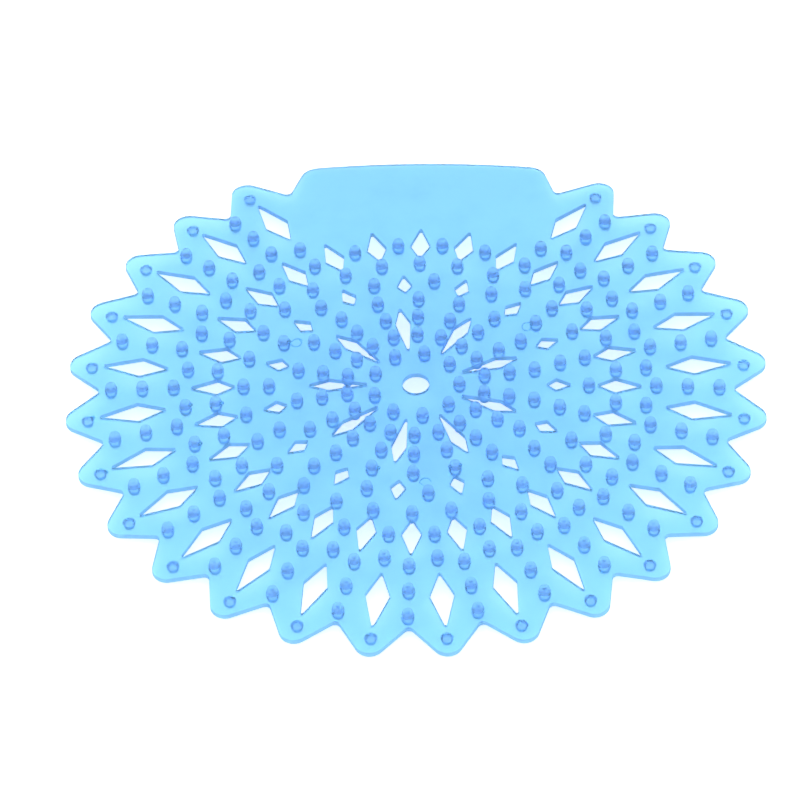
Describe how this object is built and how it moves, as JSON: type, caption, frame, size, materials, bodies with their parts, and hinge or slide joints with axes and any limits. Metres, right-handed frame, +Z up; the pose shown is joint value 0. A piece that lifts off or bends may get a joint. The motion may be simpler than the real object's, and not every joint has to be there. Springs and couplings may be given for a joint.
{
  "type": "urinal deodorizer screen",
  "caption": "Round, slightly domed drain screen with a toothed rim, a plain tab, rings of kite-shaped holes and short pegs on both faces.",
  "frame": {"origin": "middle of the outline, at the level of the peg ends that the screen rests on", "axes": "+Z up, out of the domed face; +Y towards the tab; +X to the right of the tab, seen from above"},
  "size_m": [0.182, 0.179, 0.0084],
  "materials": {
    "soft_plastic": "hazy, see-through light blue soft plastic with a low sheen"
  },
  "bodies": {
    "root": {"screen": "soft_plastic"}
  },
  "joints": []
}
